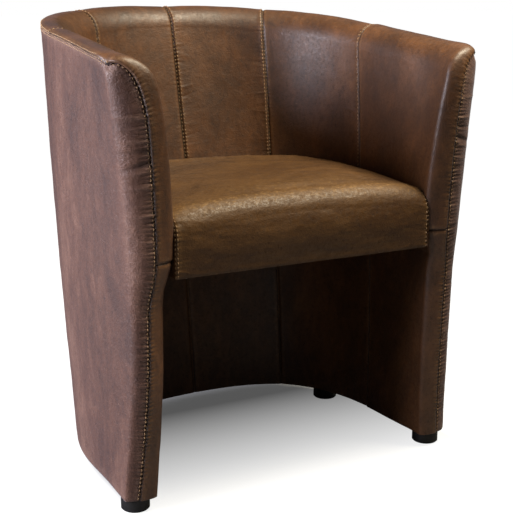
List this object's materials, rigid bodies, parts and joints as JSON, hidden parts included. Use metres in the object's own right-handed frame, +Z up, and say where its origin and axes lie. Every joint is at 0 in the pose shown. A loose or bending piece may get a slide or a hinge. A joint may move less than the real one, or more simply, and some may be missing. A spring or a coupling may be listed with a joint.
{
  "type": "tub chair",
  "caption": "Tub chair: a U-shaped padded shell of stitched brown leather panels with a flared sloping rim, a sprung waterfall seat that is open below, and low round feet.",
  "frame": {"origin": "on the floor under the middle of the chair: the centre of the underside of its bounding box", "axes": "+X to the sitter's left (image right), -Y the open front that the sitter faces, +Z up; the chair is symmetrical about the plane x = 0"},
  "size_m": [0.6804, 0.5736, 0.7765],
  "materials": {
    "upholstery": "matt distressed brown leather or leather-look fabric, mottled, with top-stitched seams",
    "padding": "pale foam and polyester wadding",
    "felt": "grey needle felt",
    "dust_cloth": "black non-woven cloth",
    "hardboard": "brown hardboard, smooth face outward",
    "plywood": "sanded plywood, unfinished",
    "softwood": "planed softwood, unfinished",
    "foot_plastic": "black moulded plastic, fine matt texture",
    "steel": "bright zinc-plated steel"
  },
  "bodies": {
    "root": {"outer_cover": "upholstery", "back_cover_left": "upholstery", "back_cover_right": "upholstery", "shoulder_cover_left": "upholstery", "shoulder_cover_right": "upholstery", "arm_cover_left": "upholstery", "arm_cover_right": "upholstery", "back_lining_left": "upholstery", "back_lining_right": "upholstery", "shoulder_lining_left": "upholstery", "shoulder_lining_right": "upholstery", "arm_lining_left": "upholstery", "arm_lining_right": "upholstery", "outer_wadding": "padding", "inner_foam": "padding", "rim_padding": "padding", "arm_foam_left": "padding", "arm_foam_right": "padding", "outer_board": "hardboard", "inner_board": "hardboard", "lower_board": "hardboard", "base_rail": "plywood", "seat_rail": "plywood", "top_rail": "softwood", "lower_back_post_left": "softwood", "lower_back_post_right": "softwood", "lower_side_post_left": "softwood", "lower_side_post_right": "softwood", "lower_front_post_left": "softwood", "lower_front_post_right": "softwood", "upper_back_post_left": "softwood", "upper_back_post_right": "softwood", "upper_side_post_left": "softwood", "upper_side_post_right": "softwood", "upper_front_post_left": "softwood", "upper_front_post_right": "softwood", "bottom_strip": "dust_cloth", "foot_front_left": "foot_plastic", "foot_front_right": "foot_plastic", "foot_back_left": "foot_plastic", "foot_back_right": "foot_plastic", "foot_screws": "steel", "seat_cover": "upholstery", "seat_border_left": "upholstery", "seat_border_right": "upholstery", "seat_foam": "padding", "seat_felt": "felt", "seat_springs": "steel", "spring_clips": "steel", "seat_frame": "plywood", "seat_dust_cloth": "dust_cloth", "batten_left": "softwood", "batten_right": "softwood", "batten_back": "softwood", "seat_screws": "steel"}
  },
  "joints": []
}
